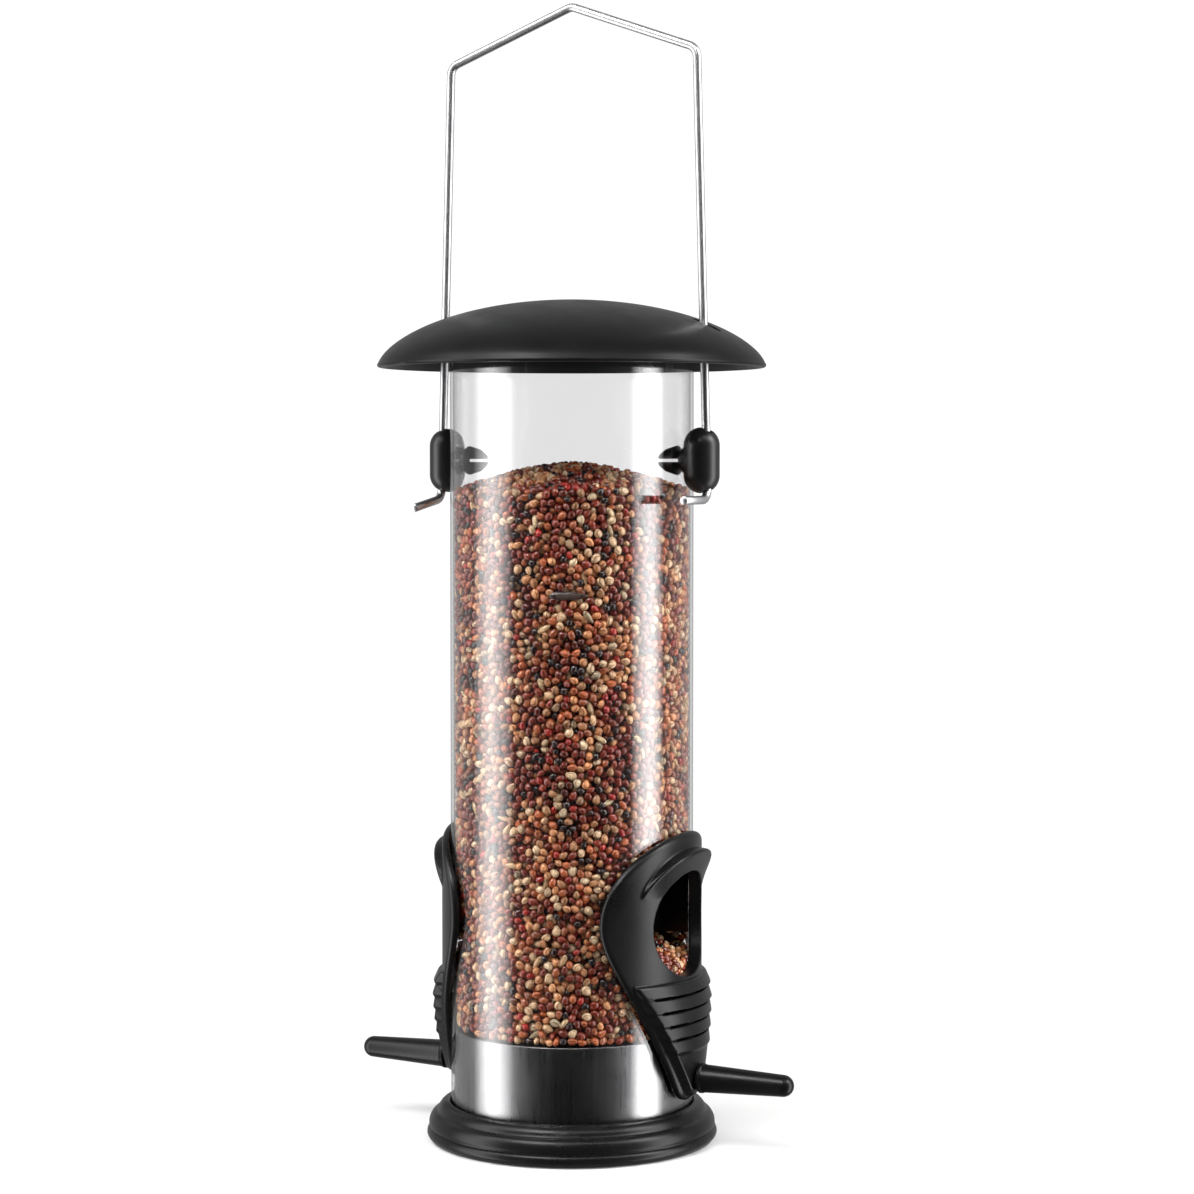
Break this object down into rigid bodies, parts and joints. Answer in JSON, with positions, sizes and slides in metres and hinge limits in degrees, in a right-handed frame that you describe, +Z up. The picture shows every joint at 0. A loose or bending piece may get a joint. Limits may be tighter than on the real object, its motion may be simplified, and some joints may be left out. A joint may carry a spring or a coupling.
{
  "type": "hanging bird feeder",
  "caption": "Clear tube seed feeder with a domed lid that lifts up its wire hanger, hooded feeding ports, perch pegs, a steel band and a pull-off foot.",
  "frame": {"origin": "the hang point: the inside of the bend at the top of the wire hanger, on the feeder's axis", "axes": "+Z up along the tube, X through the feeding ports, perches and wire knobs, -Y the way both wire feet point"},
  "size_m": [0.1252, 0.1012, 0.296],
  "materials": {
    "bright_wire": "bright drawn steel wire",
    "black_plastic": "satin moulded black",
    "black_lid": "satin black",
    "clear_plastic": "clear polished tube",
    "brushed_steel": "fine brushed",
    "seed": "mixed millet seed, red-brown, tan and cream"
  },
  "bodies": {
    "hanger": {"hanger_wire": "bright_wire", "wire_knob_right": "black_plastic", "wire_knob_left": "black_plastic"},
    "lid": {"lid_dome": "black_lid"},
    "feeder": {"tube": "clear_plastic", "port_right": "black_plastic", "port_left": "black_plastic", "port_scoop_right": "black_plastic", "port_scoop_left": "black_plastic", "perch_right": "black_plastic", "perch_left": "black_plastic", "steel_band": "brushed_steel", "seed_floor": "black_plastic", "seed_fill": "seed"},
    "foot": {"base": "black_plastic"}
  },
  "joints": [
    {"name": "lid_lift", "type": "slide", "parent": "hanger", "child": "lid", "axis": [0, 0, 1], "range_m": [0, 0.06]},
    {"name": "feeder_swing", "type": "hinge", "parent": "hanger", "child": "feeder", "pos_m": [0, 0, -0.1161], "axis": [1, 0, 0], "range_deg": [-1.5, 1.5]},
    {"name": "foot_pull", "type": "slide", "parent": "feeder", "child": "foot", "axis": [0, 0, -1], "range_m": [0, 0.025]}
  ]
}
